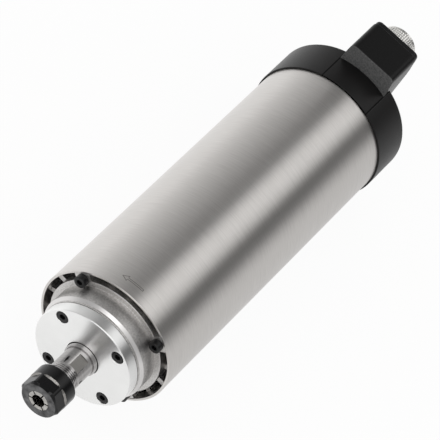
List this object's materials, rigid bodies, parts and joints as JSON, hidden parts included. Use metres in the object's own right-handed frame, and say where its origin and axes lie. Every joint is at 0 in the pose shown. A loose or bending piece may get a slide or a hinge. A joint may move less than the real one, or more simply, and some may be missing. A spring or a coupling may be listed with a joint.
{
  "type": "motor spindle",
  "caption": "Air-cooled milling spindle: a motor in a brushed steel sleeve, with a collet nose in front and a fan cover with a junction box behind.",
  "frame": {"origin": "on the spindle axis, in the plane of the sleeve's front rim", "axes": "+X along the spindle axis from the nose to the fan cover, +Z towards the junction box, +Y to the right-handed side"},
  "size_m": [0.2573, 0.0668, 0.0759],
  "materials": {
    "sleeve_steel": "stainless tube, fine circumferential brushing",
    "flange_aluminium": "turned and bead-blasted aluminium",
    "cover_aluminium": "bright face-turned aluminium",
    "shaft_steel": "ground and polished bearing steel",
    "nut_black": "black oxide on steel, satin",
    "collet_steel": "ground spring steel",
    "screw_black": "black oxide socket-head screws",
    "cap_plastic": "moulded black plastic",
    "plate_plastic": "moulded black plastic, smooth",
    "socket_metal": "nickel-plated, knurled ring",
    "insulator": "black insulator",
    "contact_brass": "plated pins",
    "lamination": "stacked electrical steel",
    "copper": "varnished copper wire",
    "bearing_steel": "polished bearing steel",
    "cage_plastic": "moulded cage",
    "fan_plastic": "moulded black plastic"
  },
  "bodies": {
    "housing": {"outer_sleeve": "sleeve_steel", "motor_body": "flange_aluminium", "front_flange": "flange_aluminium", "front_cover": "cover_aluminium", "rear_flange": "flange_aluminium", "outer_races": "bearing_steel", "preload_spring": "bearing_steel", "stator_core": "lamination", "stator_windings": "copper", "fan_cover": "cap_plastic", "junction_box": "cap_plastic", "box_plate": "plate_plastic", "socket_shell": "socket_metal", "socket_ring": "socket_metal", "socket_insert": "insulator", "socket_pins": "contact_brass", "m3_screws": "screw_black"},
    "rotor": {"shaft": "shaft_steel", "front_lock_nut": "shaft_steel", "inner_races": "bearing_steel", "rotor_core": "lamination", "fan": "fan_plastic", "fan_nut": "shaft_steel"},
    "cage_body": {"bearing_cages": "cage_plastic", "bearing_balls": "bearing_steel"},
    "collet_body": {"collet": "collet_steel"},
    "nut_body": {"collet_nut": "nut_black"}
  },
  "joints": [
    {"name": "spindle_rotation", "type": "hinge", "parent": "housing", "child": "rotor", "pos_m": [0, 0, 0], "axis": [1, 0, 0], "continuous": true},
    {"name": "cage_rotation", "type": "hinge", "parent": "housing", "child": "cage_body", "pos_m": [-0.0012, 0, 0], "axis": [1, 0, 0], "continuous": true},
    {"name": "collet_slide", "type": "slide", "parent": "rotor", "child": "collet_body", "axis": [-1, 0, 0], "range_m": [0, 0.0061]},
    {"name": "nut_turn", "type": "hinge", "parent": "collet_body", "child": "nut_body", "pos_m": [-0.04, 0, 0], "axis": [-1, 0, 0], "range_deg": [0, 2880]}
  ],
  "couplings": [
    {"joint": "cage_rotation", "follows": "spindle_rotation", "ratio": 0.4},
    {"joint": "collet_slide", "follows": "nut_turn", "m_per_rad": 0.00011937}
  ]
}
